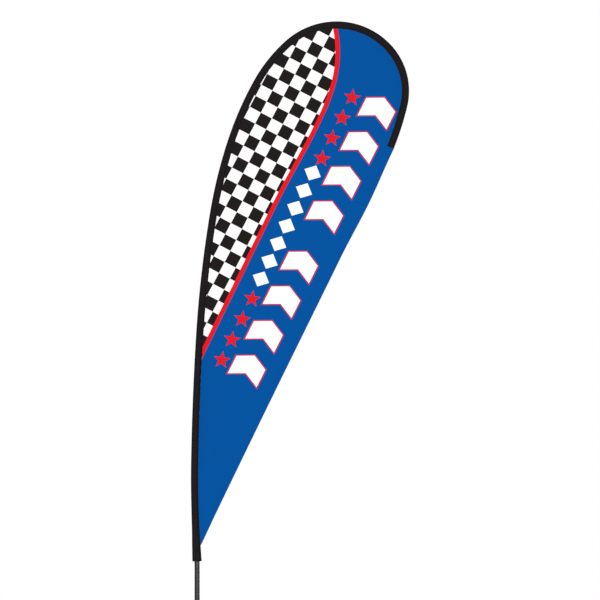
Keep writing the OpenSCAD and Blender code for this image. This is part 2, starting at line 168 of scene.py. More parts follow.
# %% [markdown]
# ## Writing finishes
# Every finish is a small node tree. A tiny class keeps each one readable: it makes a node, sets
# or links its inputs, and hands back the output. Building trees by hand in the node editor gives
# the same result, but a script can name each step.

# %% Finish helper
class Finish:
    """A material with one Principled shader, and short ways to add nodes to it."""

    def __init__(self, name, colour, roughness, **inputs):
        self.material = bpy.data.materials.new(name)
        self.material.use_nodes = True
        self.nodes = self.material.node_tree.nodes
        self.shader = self.nodes["Principled BSDF"]
        self.set(self.shader, "Base Color", colour)
        self.set(self.shader, "Roughness", roughness)
        for socket, value in inputs.items():
            self.set(self.shader, socket.replace("_", " "), value)

    def set(self, node, socket, value):
        if isinstance(value, bpy.types.NodeSocket):
            self.material.node_tree.links.new(value, node.inputs[socket])
        elif isinstance(value, tuple) and len(value) == 3 and node.inputs[socket].type == "RGBA":
            node.inputs[socket].default_value = (*value, 1)
        else:
            node.inputs[socket].default_value = value

    def add(self, kind, output=0, settings=(), **inputs):
        node = self.nodes.new("ShaderNode" + kind)
        for name, value in settings:
            setattr(node, name, value)
        for socket, value in inputs.items():
            self.set(node, socket.replace("_", " "), value)
        return node.outputs[output]

    def plain(self, colour):
        """A colour as an output, so that other nodes can change it."""
        ground = self.add("RGB")
        ground.default_value = (*colour, 1)
        return ground

    def maths(self, operation, *values):
        node = self.nodes.new("ShaderNodeMath")
        node.operation = operation
        for i, value in enumerate(values):
            self.set(node, i, value)
        return node.outputs[0]

    def smooth_step(self, value, low, high):
        return self.add("MapRange", settings=[("interpolation_type", "SMOOTHSTEP")],
                        Value=value, From_Min=low, From_Max=high)

    def inside(self, distance, blur):
        """1 where a distance in metres is below zero and 0 above, over a short blur."""
        return self.add("MapRange", Value=distance, From_Min=blur, From_Max=-blur)

    def mix(self, share, first, second):
        node = self.nodes.new("ShaderNodeMix")
        node.data_type = "RGBA"
        self.set(node, 0, share)
        for i, value in ((6, first), (7, second)):  # the colour inputs A and B
            self.set(node, i, value)
        return node.outputs[2]

    def place(self):
        """Where the surface is on its own object, in metres."""
        return self.add("TexCoord", output=3)

    def cloud(self, size, detail=2.0, place=None):
        """Soft noise whose blobs are about size metres across."""
        return self.add("TexNoise", Vector=place or self.place(), Scale=1 / size, Detail=detail)

    def bump(self, height, depth, normal=None):
        inputs = {"Height": height, "Distance": depth, "Strength": 1.0}
        if normal:
            inputs["Normal"] = normal
        return self.add("Bump", **inputs)

    def wear(self, normal):
        self.set(self.shader, "Normal", normal)
        return self.material


def linear(red, green, blue):
    """A colour given in the 0 to 255 of paint charts, as the shader wants it."""
    def channel(c):
        c = c / 255
        return c / 12.92 if c <= 0.04045 else ((c + 0.055) / 1.055) ** 2.4
    return channel(red), channel(green), channel(blue)


print("mid grey 128 is", round(linear(128, 128, 128)[0], 3), "in linear light")

# %% [markdown]
# ## Print of the flag
# The print is dyed into the cloth: a blue ground, a checked field behind a swept red stripe, two
# short rows of stars, and two rows of plain racing shapes. We draw it with arithmetic on u and v.
# A painted image would need a picture file, and edges drawn by formula stay sharp at any size.
# Each shape is a signed distance: below zero inside it. A row of shapes repeats one distance.

# %% Print colours and layout
BLUE = linear(1, 80, 155)
RED = linear(227, 25, 34)
WHITE = (0.95, 0.95, 0.95)
CHECK_BLACK = linear(32, 28, 28)
CHECK = 49.7 * MM
CHECK_TILT = 0.0285
STRIPE_HALF = 9.1 * MM
EDGE_BLUR = 0.25 * MM
STAR_ROW = {"middle": 1.2859, "gap": 0.5354, "pitch": 0.0910, "count": 4}
STAR_R = 36 * MM
LOZENGE_ROW = {"middle": 1.2950, "gap": -0.0786, "pitch": 0.0786, "count": 4}
LOZENGE_SIZE = (33 * MM, 36 * MM)
CHEVRON_ROW = {"middle": 1.2950, "gap": 0.070, "pitch": 0.155, "count": 4}
CHEVRON_SIZE = (39 * MM, 64 * MM, 0.5)
CHEVRON_SHIFT = 16 * MM
OUTLINE = 4.5 * MM


def stripe_across(f, u):
    """v of the stripe's middle: straight, then drawn in a little, then swept out to the top."""
    dip = f.maths("MULTIPLY", f.smooth_step(u, 1.350, 1.700), -12 * MM)
    rise = f.maths("MAXIMUM", f.maths("DIVIDE", f.maths("SUBTRACT", u, 1.700), 0.378), 0.0)
    sweep = f.maths("MULTIPLY", f.maths("POWER", rise, 2.85), 94 * MM)
    slope = f.maths("MULTIPLY", f.maths("POWER", rise, 1.85), 0.709)
    middle = f.maths("ADD", f.maths("ADD", dip, sweep), 329 * MM)
    stretch = f.maths("SQRT", f.maths("MULTIPLY_ADD", slope, slope, 1.0))
    return middle, f.maths("MULTIPLY", stretch, STRIPE_HALF)


def checks(f, u, v):
    """1 on the white squares. The rows run a little steeper than the free edge."""
    up = f.maths("DIVIDE", f.maths("SUBTRACT", f.maths("MULTIPLY_ADD", v, -CHECK_TILT, u),
                                   1.5424), CHECK)
    over = f.maths("DIVIDE", f.maths("SUBTRACT", f.maths("MULTIPLY_ADD", u, CHECK_TILT, v),
                                     0.5376), CHECK)
    cell = f.maths("ADD", f.maths("FLOOR", up), f.maths("FLOOR", over))
    return f.maths("SUBTRACT", 1.0, f.maths("FLOORED_MODULO", cell, 2.0))


def row(f, u, middle, gap, pitch, count):
    """For a row that is mirrored about a middle: place along one shape, and a distance that is
    below zero where the row has shapes. Each side has count shapes after half the gap."""
    signed = f.maths("SUBTRACT", u, middle)
    run = f.maths("SUBTRACT", f.maths("ABSOLUTE", signed), gap / 2)
    cell = f.maths("FRACT", f.maths("DIVIDE", run, pitch))
    local = f.maths("MULTIPLY", f.maths("SUBTRACT", cell, 0.5), pitch)
    local = f.maths("MULTIPLY", local, f.maths("SIGN", signed))
    ends = f.maths("SUBTRACT", f.maths("ABSOLUTE", f.maths("SUBTRACT", run, count * pitch / 2)),
                   count * pitch / 2)
    return local, ends


def star(f, along_row, across_row, radius):
    """Five-pointed star, by folding the plane into one half of a spike."""
    angle = f.maths("ARCTAN2", along_row, across_row)
    fold = math.radians(72)
    part = f.maths("PINGPONG", angle, fold / 2)
    reach = f.maths("SQRT", f.maths("ADD", f.maths("MULTIPLY", along_row, along_row),
                                    f.maths("MULTIPLY", across_row, across_row)))
    side = f.maths("ADD", f.maths("MULTIPLY", f.maths("COSINE", part), math.cos(fold)),
                   f.maths("MULTIPLY", f.maths("SINE", part), math.sin(fold)))
    return f.maths("MULTIPLY_ADD", reach, side, -radius * math.cos(fold))


def chevron(f, along_row, across_row, half_w, half_h, lean):
    """Arrowhead that points up the flag."""
    across = f.maths("ABSOLUTE", across_row)
    bent = f.maths("ABSOLUTE", f.maths("MULTIPLY_ADD", across, lean, along_row))
    return f.maths("MAXIMUM", f.maths("SUBTRACT", bent, half_w),
                   f.maths("SUBTRACT", across, half_h))


def lozenge(f, along_row, across_row, half_w, half_h):
    across = f.maths("MULTIPLY", f.maths("ABSOLUTE", across_row), half_w / half_h)
    return f.maths("SUBTRACT", f.maths("ADD", f.maths("ABSOLUTE", along_row), across), half_w)


# %% Print colour
def print_colour(f):
    """Colour of the print, from where the surface is on the flag."""
    place = f.place()
    parts = f.nodes.new("ShaderNodeSeparateXYZ")
    f.set(parts, 0, place)
    x = f.maths("SUBTRACT", parts.outputs[0], corner_low.x)
    z = f.maths("SUBTRACT", parts.outputs[2], corner_low.z)
    u = f.maths("ADD", f.maths("MULTIPLY", x, EDGE_U.x), f.maths("MULTIPLY", z, EDGE_U.z))
    v = f.maths("ADD", f.maths("MULTIPLY", x, EDGE_V.x), f.maths("MULTIPLY", z, EDGE_V.z))

    middle, half = stripe_across(f, u)
    from_stripe = f.maths("SUBTRACT", v, middle)
    checked = f.mix(checks(f, u, v), CHECK_BLACK, WHITE)
    colour = f.mix(f.inside(from_stripe, EDGE_BLUR), checked, BLUE)
    on_stripe = f.inside(f.maths("SUBTRACT", f.maths("ABSOLUTE", from_stripe), half), EDGE_BLUR)
    colour = f.mix(on_stripe, colour, RED)

    star_u, star_ends = row(f, u, **STAR_ROW)
    star_v = f.maths("SUBTRACT", v, f.maths("MULTIPLY_ADD", u, -0.0071, 0.2513))
    stars = f.maths("MAXIMUM", star(f, star_u, star_v, STAR_R), star_ends)
    colour = f.mix(f.inside(stars, EDGE_BLUR), colour, RED)

    small_u, small_ends = row(f, u, **LOZENGE_ROW)
    small_v = f.maths("SUBTRACT", v, 0.248)
    small = f.maths("MAXIMUM", lozenge(f, small_u, small_v, *LOZENGE_SIZE), small_ends)
    colour = f.mix(f.inside(small, EDGE_BLUR), colour, WHITE)

    big_u, big_ends = row(f, u, **CHEVRON_ROW)
    big_v = f.maths("SUBTRACT", v, f.maths("MULTIPLY_ADD", u, -0.0123, 0.1459))
    shifted = f.maths("SUBTRACT", big_u, CHEVRON_SHIFT)
    big = f.maths("MAXIMUM", chevron(f, shifted, big_v, *CHEVRON_SIZE),
                  f.maths("ADD", big_ends, OUTLINE))
    colour = f.mix(f.inside(f.maths("SUBTRACT", big, OUTLINE), EDGE_BLUR), colour, RED)
    return f.mix(f.inside(big, EDGE_BLUR), colour, WHITE)


# %% [markdown]
# ## Cloth finishes
# Flag cloth is knitted polyester: a fine grid of loops that only shows close by, and dye that
# varies a little. The sleeve is a heavier woven cloth. Both get their threads as bump from wave
# textures along the cloth's own directions, and neither shines much.

# %% Cloth finishes
def threads(f, place, pitch, depth):
    """Bump of crossing threads, pitch metres apart."""
    waves = [f.add("TexWave", output=1, settings=[("bands_direction", axis), ("wave_profile", "SIN")],
                   Vector=place, Scale=math.tau / (20 * pitch), Distortion=0.6)
             for axis in ("X", "Y")]
    return f.bump(f.maths("MULTIPLY", *waves), depth)


def uneven(f, colour, size, amount):
    """The same colour, lighter and darker by a small amount in soft blobs."""
    shade = f.add("MapRange", Value=f.cloud(size), To_Min=1 - amount, To_Max=1 + amount)
    return f.add("VectorMath", settings=[("operation", "SCALE")], Vector=colour, Scale=shade)


def thread_place(f):
    return f.add("UVMap", settings=[("uv_map", "thread")])


def printed_cloth():
    f = Finish("printed_polyester", BLUE, 0.8, Specular_IOR_Level=0.04)
    f.set(f.shader, "Base Color", uneven(f, print_colour(f), 90 * MM, 0.02))
    return f.wear(threads(f, thread_place(f), 0.9 * MM, 0.06 * MM))


def sleeve_cloth():
    black = linear(28, 24, 26)
    f = Finish("black_sleeve_polyester", black, 0.8, Specular_IOR_Level=0.1)
    f.set(f.shader, "Base Color", uneven(f, f.plain(black), 35 * MM, 0.14))
    f.set(f.shader, "Roughness", f.add("MapRange", Value=f.cloud(12 * MM), To_Min=0.7, To_Max=0.9))
    return f.wear(threads(f, thread_place(f), 1.1 * MM, 0.12 * MM))


PRINT = printed_cloth()
SLEEVE = sleeve_cloth()
print("cloth finishes:", PRINT.name, SLEEVE.name)

# %% [markdown]
# ## Making meshes
# All new pieces are written as point lists: a grid of rings, or a triangulated sheet. One helper
# turns such lists into an object, smooths it, gives it a map of its threads and hangs it on its
# CAD body. Sculpting would reach the same shapes, but points worked out from the line stay true
# to the frame.

# %% Mesh helpers
def new_piece(name, points, faces, finish, body=FLAG, sharp=50):
    mesh = bpy.data.meshes.new(name)
    mesh.from_pydata([tuple(p) for p in points], [], faces)
    mesh.validate()
    mesh.materials.append(finish)
    mesh.shade_smooth()
    mesh.set_sharp_from_angle(angle=math.radians(sharp))
    piece = bpy.data.objects.new(name, mesh)
    bpy.context.scene.collection.objects.link(piece)
    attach(piece, body)
    print(name, len(mesh.vertices), "points,", len(mesh.polygons), "faces")
    return piece


def lay_map(piece, name, place_of):
    """Adds a map whose value at each corner comes from the corner's face and point."""
    layer = piece.data.uv_layers.new(name=name)
    for face in piece.data.polygons:
        for corner in face.loop_indices:
            vertex = piece.data.loops[corner].vertex_index
            layer.data[corner].uv = place_of(face.index, vertex)


def ring_faces(rings, sides, close_start=True, close_end=True):
    """Faces of a tube through rings of points, with a face over each end that is closed."""
    faces = [(i * sides + j, (i + 1) * sides + j, (i + 1) * sides + (j + 1) % sides,
              i * sides + (j + 1) % sides) for i in range(rings - 1) for j in range(sides)]
    if close_start:
        faces.append(tuple(range(sides)))
    if close_end:
        faces.append(tuple(range(rings * sides - 1, (rings - 1) * sides - 1, -1)))
    return faces


def closing_faces(rings, sides):
    """Faces that join the last ring back to the first."""
    last = (rings - 1) * sides
    return [(last + j, j, (j + 1) % sides, last + (j + 1) % sides) for j in range(sides)]


def stations(start, end, step):
    count = max(2, round((end - start) / step) + 1)
    return [start + (end - start) * k / (count - 1) for k in range(count)]


# %% [markdown]
# ## Relief of the flying cloth
# A teardrop flag is stretched between its bent pole and its free edge, so it hangs nearly flat.
# What shows is small: a slow billow, folds that fan out of the two corners that carry the pull,
# and gathers where the cloth is eased into the curved seam. A cloth simulation of such a tight
# sheet mostly flattens it, so each of these is written as its own small wave.

# %% Relief of the cloth
seam_track = [beside(s, SEAM) for s in stations(CORNER, SLEEVE_END, 12 * MM)]
seam_points = np.array([(p.x, p.z) for p in seam_track])


def fade(distance, reach):
    return math.exp(-(distance / reach) ** 2)


def relief(point):
    """How far the cloth stands off its flat plane at a point of that plane, in metres."""
    u, v = to_uv(point)
    gaps = np.hypot(seam_points[:, 0] - point.x, seam_points[:, 1] - point.z)
    nearest = int(gaps.argmin())
    from_seam = float(gaps[nearest])
    seam_run = nearest * 12 * MM
    top = corner_high
    held = 1 - math.exp(-from_seam / (60 * MM))
    billow = 6 * MM * math.sin(math.tau * u / 0.93 + 0.6) * fade(v - 0.12, 0.26)
    soft = 4 * MM * noise.noise(Vector((u / 0.22, v / 0.11, 1.7)))
    fan = math.atan2(v + 0.02, u + 0.05)
    low_folds = 1.5 * MM * math.sin(fan * 42) * fade(u - 0.16, 0.17)
    from_top = math.hypot(point.x - top.x, point.z - top.z)
    spread = math.atan2(point.z - top.z, point.x - top.x)
    top_folds = 1.3 * MM * math.sin(spread * 34 + 1) * fade(from_top - 0.13, 0.12)
    gather = 0.9 * MM * math.sin(math.tau * seam_run / (31 * MM)
                                 + 3 * noise.noise(Vector((seam_run / 0.1, 0, 4.1))))
    gather *= fade(from_seam - 0.018, 0.026)
    edge_wave = 1.2 * MM * math.sin(math.tau * u / 0.21 + 2) * fade(v, 0.05)
    return held * (billow + soft + edge_wave + low_folds + top_folds) + gather


def edge_bow(u):
    """The free edge is not quite straight: a slight hollow low down, a slight swell near the top."""
    share = min(max(u / EDGE_LENGTH, 0), 1)
    return MM * (1.5 * math.sin(math.pi * min(share / 0.72, 1)) ** 2
                 - 6.0 * math.sin(math.pi * max(share - 0.72, 0) / 0.28) ** 2
                 - 2.0 * fade(max(u, 0), 90 * MM) - 1.2)


print("relief in the middle of the flag:", round(relief(from_uv(1.0, 0.2)) / MM, 2), "mm")

# %% [markdown]
# ## The printed flag
# The cloth is a plain outline in its plane: up the seam, across the sleeve's end, down the free
# edge. To carry relief it needs points all over. A grid stretched over the shape would shear near
# the tip, so an even lattice is laid inside the outline and joined by Delaunay triangles.

# %% Outline and lattice of the flag
TUCK = 2 * MM
STEP = 9 * MM
LOW_TUCK = 7 * MM
seam_side = [beside(s, SEAM - TUCK) for s in stations(CORNER - LOW_TUCK, SLEEVE_END, STEP)]
end_side = [beside(SLEEVE_END, a) for a in stations(SEAM - 7 * MM, -SLEEVE_OUT, -STEP)]
edge_side = [from_uv(u, edge_bow(u)) for u in stations(EDGE_LENGTH, -LOW_TUCK / 2, -STEP)]
outline = seam_side + end_side + edge_side[1:]
flat_points = [Vector(to_uv(p)) for p in outline]
count = len(flat_points)
corners = np.array(flat_points)


def well_inside(u, v, room):
    """True if the lattice point is inside the outline and not close to it."""
    if np.hypot(corners[:, 0] - u, corners[:, 1] - v).min() < room:
        return False
    nxt = np.roll(corners, -1, axis=0)
    crosses = (corners[:, 1] > v) != (nxt[:, 1] > v)
    slope = (nxt[:, 0] - corners[:, 0]) / np.where(crosses, nxt[:, 1] - corners[:, 1], 1)
    return bool((crosses & (u < corners[:, 0] + slope * (v - corners[:, 1]))).sum() % 2)


low, high = corners.min(0), corners.max(0)
lattice = []
for j, v in enumerate(np.arange(low[1], high[1], STEP * math.sqrt(3) / 2)):
    for u in np.arange(low[0] + (j % 2) * STEP / 2, high[0], STEP):
        if well_inside(u, v, STEP * 0.62):
            lattice.append(Vector((u, v)))
ring = [(k, (k + 1) % count) for k in range(count)]
sheet_uv, _, sheet_faces, *_ = geometry.delaunay_2d_cdt(flat_points + lattice, ring, [], 1, 1e-6)
print("flag lattice:", len(sheet_uv), "points,", len(sheet_faces), "triangles")

# %% The flag's cloth
CLOTH_T = 0.7 * MM
sheet_points = [from_uv(*uv) for uv in sheet_uv]
lift = [relief(p) for p in sheet_points]
sheet_n = len(sheet_points)
front = [p + Vector((0, y - CLOTH_T / 2, 0)) for p, y in zip(sheet_points, lift)]
back = [p + Vector((0, y + CLOTH_T / 2, 0)) for p, y in zip(sheet_points, lift)]
facing = [f if (sheet_points[f[1]] - sheet_points[f[0]]).cross(
    sheet_points[f[2]] - sheet_points[f[0]]).y < 0 else f[::-1] for f in sheet_faces]
edges_used = {}
for f in facing:
    for a, b in zip(f, f[1:] + f[:1]):
        edges_used[(a, b)] = True
rim = [(b, a, a + sheet_n, b + sheet_n) for a, b in edges_used if (b, a) not in edges_used]
flag = new_piece("printed_flag", front + back,
                 facing + [tuple(i + sheet_n for i in reversed(f)) for f in facing] + rim,
                 PRINT)
span = high - low
lay_map(flag, "thread", lambda face, i: tuple(sheet_uv[i % sheet_n]))
lay_map(flag, "OFBake", lambda face, i: (0.005 + 0.99 * (sheet_uv[i % sheet_n][1] - low[1]) / span[1],
                                         0.005 + 0.99 * (sheet_uv[i % sheet_n][0] - low[0]) / span[0]))
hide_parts("printed_panel")
flat_area = sum(geometry.area_tri(*[sheet_points[i] for i in f]) for f in facing)

# %% [markdown]
# ## Hem of the free edge
# The free edge is folded twice and sewn down, which makes a band that stands a little proud on
# both faces. It is swept up the edge on the same relief as the cloth, so the two never part.

# %% Free-edge hem
HEM_SECTION = [(-0.5, -0.55), (0.2, -0.95), (2, -1.0), (10.5, -1.0), (11.8, -0.8), (12.1, -0.35),
               (12.1, 0.4), (11.8, 1.0), (10.5, 1.25), (2, 1.25), (0.2, 1.1), (-0.5, 0.7)]


def hem_point(u, across, out):
    flat = from_uv(u, edge_bow(u) + across * MM)
    return flat + Vector((0, relief(flat) + out * MM, 0))


hem_us = stations(3 * MM, EDGE_LENGTH - 3 * MM, 8 * MM)
HEM_RING = len(HEM_SECTION)
hem = new_piece("free_edge_hem", [hem_point(u, a, o) for u in hem_us for a, o in HEM_SECTION],
                ring_faces(len(hem_us), HEM_RING), PRINT)
lay_map(hem, "thread", lambda face, i: (hem_us[i // HEM_RING],
                                        HEM_SECTION[i % HEM_RING][0] * MM))
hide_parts("leech_hem")

# %% [markdown]
# ## Stitches
# Seams are what make cloth look sewn. A lockstitch shows as a row of short threads that dip into
# the cloth at both ends. One function lays such a row along any track; each stitch is a small
# six-sided spindle, which is far lighter than a real bent tube and looks the same.

# %% Stitch helper
STITCH_R = 0.28 * MM
SPINDLE = [(0.0, 0.25), (0.25, 0.9), (0.5, 1.0), (0.75, 0.9), (1.0, 0.25)]
SPINDLE_SIDES = 6


def stitch_rows(name, tracks, finish, pitch=4.0 * MM, thread=3.0 * MM):
    """One piece with a stitch every pitch along each track of (point, outward) pairs."""
    points, faces = [], []
    for track in tracks:
        where = np.array([p[:] for p, _ in track])
        out = np.array([o[:] for _, o in track])
        run = np.concatenate([[0], np.cumsum(np.linalg.norm(np.diff(where, axis=0), axis=1))])
        for k in range(int(run[-1] / pitch)):
            first = k * pitch
            normal = Vector([np.interp(first, run, out[:, c]) for c in range(3)]).normalized()
            ends = [Vector([np.interp(first + t, run, where[:, c]) for c in range(3)])
                    for t in (0, thread)]
            side = (ends[1] - ends[0]).cross(normal).normalized()
            base = len(points)
            for share, girth in SPINDLE:
                middle = ends[0].lerp(ends[1], share) + normal * STITCH_R * (1.6 * girth - 0.9)
                for a in range(SPINDLE_SIDES):
                    turn = a * math.tau / SPINDLE_SIDES
                    points.append(middle + (side * math.cos(turn) + normal * math.sin(turn))
                                  * STITCH_R * (0.35 + 0.65 * girth))
            faces += [tuple(base + i for i in f)
                      for f in ring_faces(len(SPINDLE), SPINDLE_SIDES)]
    return new_piece(name, points, faces, finish)


def thread_finish(name, colour):
    f = Finish(name, colour, 0.6, Specular_IOR_Level=0.3)
    f.set(f.shader, "Base Color", uneven(f, f.plain(colour), 3 * MM, 0.25))
    twist = f.add("TexWave", output=1, settings=[("bands_direction", "DIAGONAL")],
                  Vector=f.place(), Scale=math.tau / (20 * 0.5 * MM))
    return f.wear(f.bump(twist, 0.05 * MM))


BLUE_THREAD = thread_finish("blue_thread", linear(10, 74, 146))
BLACK_THREAD = thread_finish("black_thread", linear(52, 46, 48))
HEM_ROW = 9.6
hem_tracks = [[(hem_point(u, HEM_ROW, face_y), Vector((0, out, 0))) for u in hem_us]
              for out, face_y in ((-1, -1.0), (1, 1.25))]
hem_stitches = stitch_rows("hem_stitches", hem_tracks, BLUE_THREAD)

# %% [markdown]
# ## The pole's sleeve
# The sleeve is a black cloth tube: round where it hugs the thick tubes, flatter towards the tip,
# and flared at its open mouth. It is gathered on the inside of the bend, where its cloth has too
# much length. A ring of points is drawn across the line at each station and swept.

# %% Section of the sleeve
CLOTH_WALL = 0.8 * MM
LAP = 3.3 * MM
SLEEVE_TIP = LINE_END - 0.5 * MM
END_ROUND = 3.5 * MM
SIDE_POINTS = 22


def ease(value, low, high):
    t = min(max((value - low) / (high - low), 0), 1)
    return t * t * (3 - 2 * t)


def bend_at(station):
    """How sharply the line bends, in degrees a metre, softened over the joins of stretches."""
    spread = 60 * MM
    before = line_at(max(station - spread, 0))[2]
    after = line_at(min(station + spread, LINE_END))[2]
    return math.degrees(after - before) / (2 * spread)


def sleeve_depth(station):
    """Half of the sleeve's front-to-back size round the pole."""
    round_part = 12.7 * MM + (9.0 - 12.7) * MM * ease(station, 1.01, 2.87)
    mouth = 1.4 * MM * (1 - ease(station, MOUTH, MOUTH + 100 * MM))
    return round_part + mouth


def sleeve_reach(station):
    """Outer edge and seam edge of the sleeve, across the line."""
    flare = (4.1 * MM * (1 - ease(station, MOUTH - 30 * MM, MOUTH + 250 * MM))
             + 1.5 * MM * (1 - ease(station, MOUTH + 60 * MM, MOUTH + 130 * MM)))
    spread = (2.0 * MM * (1 - ease(station, MOUTH, CORNER + 20 * MM))
              + 1.0 * MM * (1 - ease(station, MOUTH, MOUTH + 16 * MM)))
    return -SLEEVE_OUT - 0.8 * MM - flare, SEAM + spread


def puckers(station, share):
    """Gathers on the inner side of the bend, and a few slack folds low down."""
    bend = min(max(bend_at(station), 0) / 220, 1)
    run = station / (15 * MM) + 1.6 * noise.noise(Vector((station / 0.06, 2.2, 0)))
    gathers = 0.8 * MM * bend * (0.4 + math.sin(math.tau * run)) * math.sin(math.pi * share) ** 2
    slack = 0.6 * MM * abs(noise.noise(Vector((station / 0.10, share * 2.2, 7.7))))
    return gathers * ease(share, 0.25, 0.7) + slack * math.sin(math.pi * share)


def sleeve_half(station, side, inset):
    """Points from the outer fold to the seam edge, on one face of the sleeve."""
    outer, inner = sleeve_reach(station)
    depth = sleeve_depth(station)
    closed = max(station - SLEEVE_TIP + END_ROUND, 0) / END_ROUND
    depth = 2.0 * MM + (depth - 2.0 * MM) * math.sqrt(1 - closed ** 2)
    lap = 1.1 * MM
    lap_start = inner - LAP
    points = []
    for k in range(SIDE_POINTS + 1):
        share = k / SIDE_POINTS
        turn = math.pi * share
        across = outer + (inner - outer) * (1 - math.cos(turn)) / 2
        if across < 0:
            height = depth * math.sqrt(max(0, 1 - (across / outer) ** 2))
        elif across < lap_start:
            height = lap + (depth - lap) * (1 - (across / lap_start) ** 2.3) ** 0.62
        else:
            height = lap * (1 - 0.35 * ease(across, inner - 1 * MM, inner))
        height = max(height - inset, 0.12 * MM) if 0 < k < SIDE_POINTS else 0
        if 0 < k < SIDE_POINTS:
            height += puckers(station, share) * (1 - closed)
        across += inset * (1 if across < 0 else -1) * (1 - math.sin(turn))
        points.append((across, side * height))
    return points


def sleeve_ring(station, inset):
    whole = sleeve_half(station, -1, inset) + sleeve_half(station, 1, inset)[1:-1][::-1]
    return [beside(station, across, y) for across, y in whole]


print("sleeve depth in mm, low and at the tip:", round(2 * sleeve_depth(0.8) / MM, 1),
      round(2 * sleeve_depth(3.5) / MM, 1))

# %% The sleeve's cloth
BEND_START = 2.350
outer_stations = (stations(MOUTH + 1 * MM, BEND_START, 8 * MM)
                  + stations(BEND_START, SLEEVE_TIP - END_ROUND, 3.2 * MM)[1:]
                  + stations(SLEEVE_TIP - END_ROUND, SLEEVE_TIP, 0.5 * MM)[1:])
inner_stations = [s for s in outer_stations if s < SLEEVE_TIP - END_ROUND][::-1]
RING = 2 * SIDE_POINTS
lip = [[p.lerp(q, 0.5) - Vector((0, 0, 0.6 * MM)) for p, q in
        zip(sleeve_ring(MOUTH + 1 * MM, 0), sleeve_ring(MOUTH + 1 * MM, CLOTH_WALL))]]
rings = ([sleeve_ring(s, CLOTH_WALL) for s in inner_stations] + lip
         + [sleeve_ring(s, 0) for s in outer_stations])
ring_runs = [2 * MOUTH - s for s in inner_stations] + [MOUTH] + outer_stations
sleeve = new_piece("pole_sleeve_cloth", [p for r in rings for p in r],
                   ring_faces(len(rings), RING), SLEEVE)
GIRTH = 80 * MM


def sleeve_thread(face, vertex):
    """Threads run along the sleeve and round it; the seam's last strip wraps past the start."""
    j = vertex % RING
    if face % RING == RING - 1 and j == 0 and face < (len(rings) - 1) * RING:
        j = RING
    return j / RING * GIRTH, ring_runs[vertex // RING]


BAKE_STRIPS = 8


def sleeve_bake(face, vertex):
    """The long sleeve is cut into strips that lie side by side on its map."""
    i = min(face // RING, len(rings) - 2)
    rows = math.ceil((len(rings) - 1) / BAKE_STRIPS)
    strip = i // rows
    across = sleeve_thread(face, vertex)[0] / GIRTH
    up = (vertex // RING - strip * rows) / rows
    return (strip + 0.03 + 0.94 * across) / BAKE_STRIPS, 0.01 + 0.98 * up


lay_map(sleeve, "thread", sleeve_thread)
lay_map(sleeve, "OFBake", sleeve_bake)
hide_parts("pole_sleeve", "sleeve_mouth_hem", "sleeve_end_patch")

# %% [markdown]
# ## Sewing of the sleeve
# Two rows of lockstitch close the sleeve along the seam, one row holds the mouth's hem, and the
# end is closed by rows across it. The tracks come from the same section as the cloth.

# %% Sleeve stitches
def on_sleeve(station, across, side):
    """Point on the sleeve's face at a distance across the line."""
    half = sleeve_half(station, side, 0)
    xs = [p[0] for p in half]
    y = float(np.interp(across, xs, [p[1] for p in half]))
    return beside(station, across, y)


seam_tracks = []
for side in (-1, 1):
    for back_off in (0.9 * MM, 2.6 * MM):
        seam_tracks.append([(on_sleeve(s, sleeve_reach(s)[1] - back_off, side),
                             Vector((0, side, 0)))
                            for s in stations(MOUTH + 3 * MM, SLEEVE_TIP - 3 * MM, 6 * MM)])
    for s in (SLEEVE_TIP - 5 * MM, SLEEVE_TIP - 11 * MM):
        seam_tracks.append([(on_sleeve(s, a, side), Vector((0, side, 0)))
                            for a in stations(-SLEEVE_OUT + 1.5 * MM, SEAM - 1.5 * MM, 2 * MM)])


def mouth_track(station):
    """A row right round the sleeve, just off its cloth."""
    ring_now = sleeve_ring(station, 0)
    middle = sum(ring_now, Vector()) / len(ring_now)
    return [(p, (p - middle).normalized()) for p in ring_now + ring_now[:1]]


seam_tracks += [mouth_track(MOUTH + 5 * MM), mouth_track(MOUTH + 30 * MM)]
sleeve_stitches = stitch_rows("sleeve_stitches", seam_tracks, BLACK_THREAD)

# %% [markdown]
# ## The lowest tube of the pole
# The one tube that shows is a black anodised aluminium tube. The CAD tube has flat facets where
# it bends, so a smooth one takes its place: the same line, radii and length, with eased rims.

# %% Lowest tube
tube_low, tube_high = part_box("base_section")
TUBE_R = round(tube_high.y / MM, 1) * MM
TUBE_BORE = TUBE_R - 2 * MM
TUBE_FOOT = tube_low.z
TUBE_LENGTH = 950 * MM
TUBE_END = TUBE_FOOT + TUBE_LENGTH
TUBE_SIDES = 64
EASE = 0.4 * MM


def circle(station, radius):
    return [beside(station, radius * math.cos(a), radius * math.sin(a))
            for a in (k * math.tau / TUBE_SIDES for k in range(TUBE_SIDES))]


outside = [(s, TUBE_R) for s in stations(TUBE_FOOT + EASE, TUBE_END - EASE, 12 * MM)]
inside = [(s, TUBE_BORE) for s in stations(TUBE_END - EASE, TUBE_FOOT + EASE, -40 * MM)]
walls = ([(TUBE_FOOT, TUBE_R - EASE)] + outside + [(TUBE_END, TUBE_R - EASE)]
         + [(TUBE_END, TUBE_BORE + EASE)] + inside + [(TUBE_FOOT, TUBE_BORE + EASE)])
tube_rings = [circle(s, r) for s, r in walls]
tube_faces = ring_faces(len(walls), TUBE_SIDES, False, False)
tube_faces += closing_faces(len(walls), TUBE_SIDES)


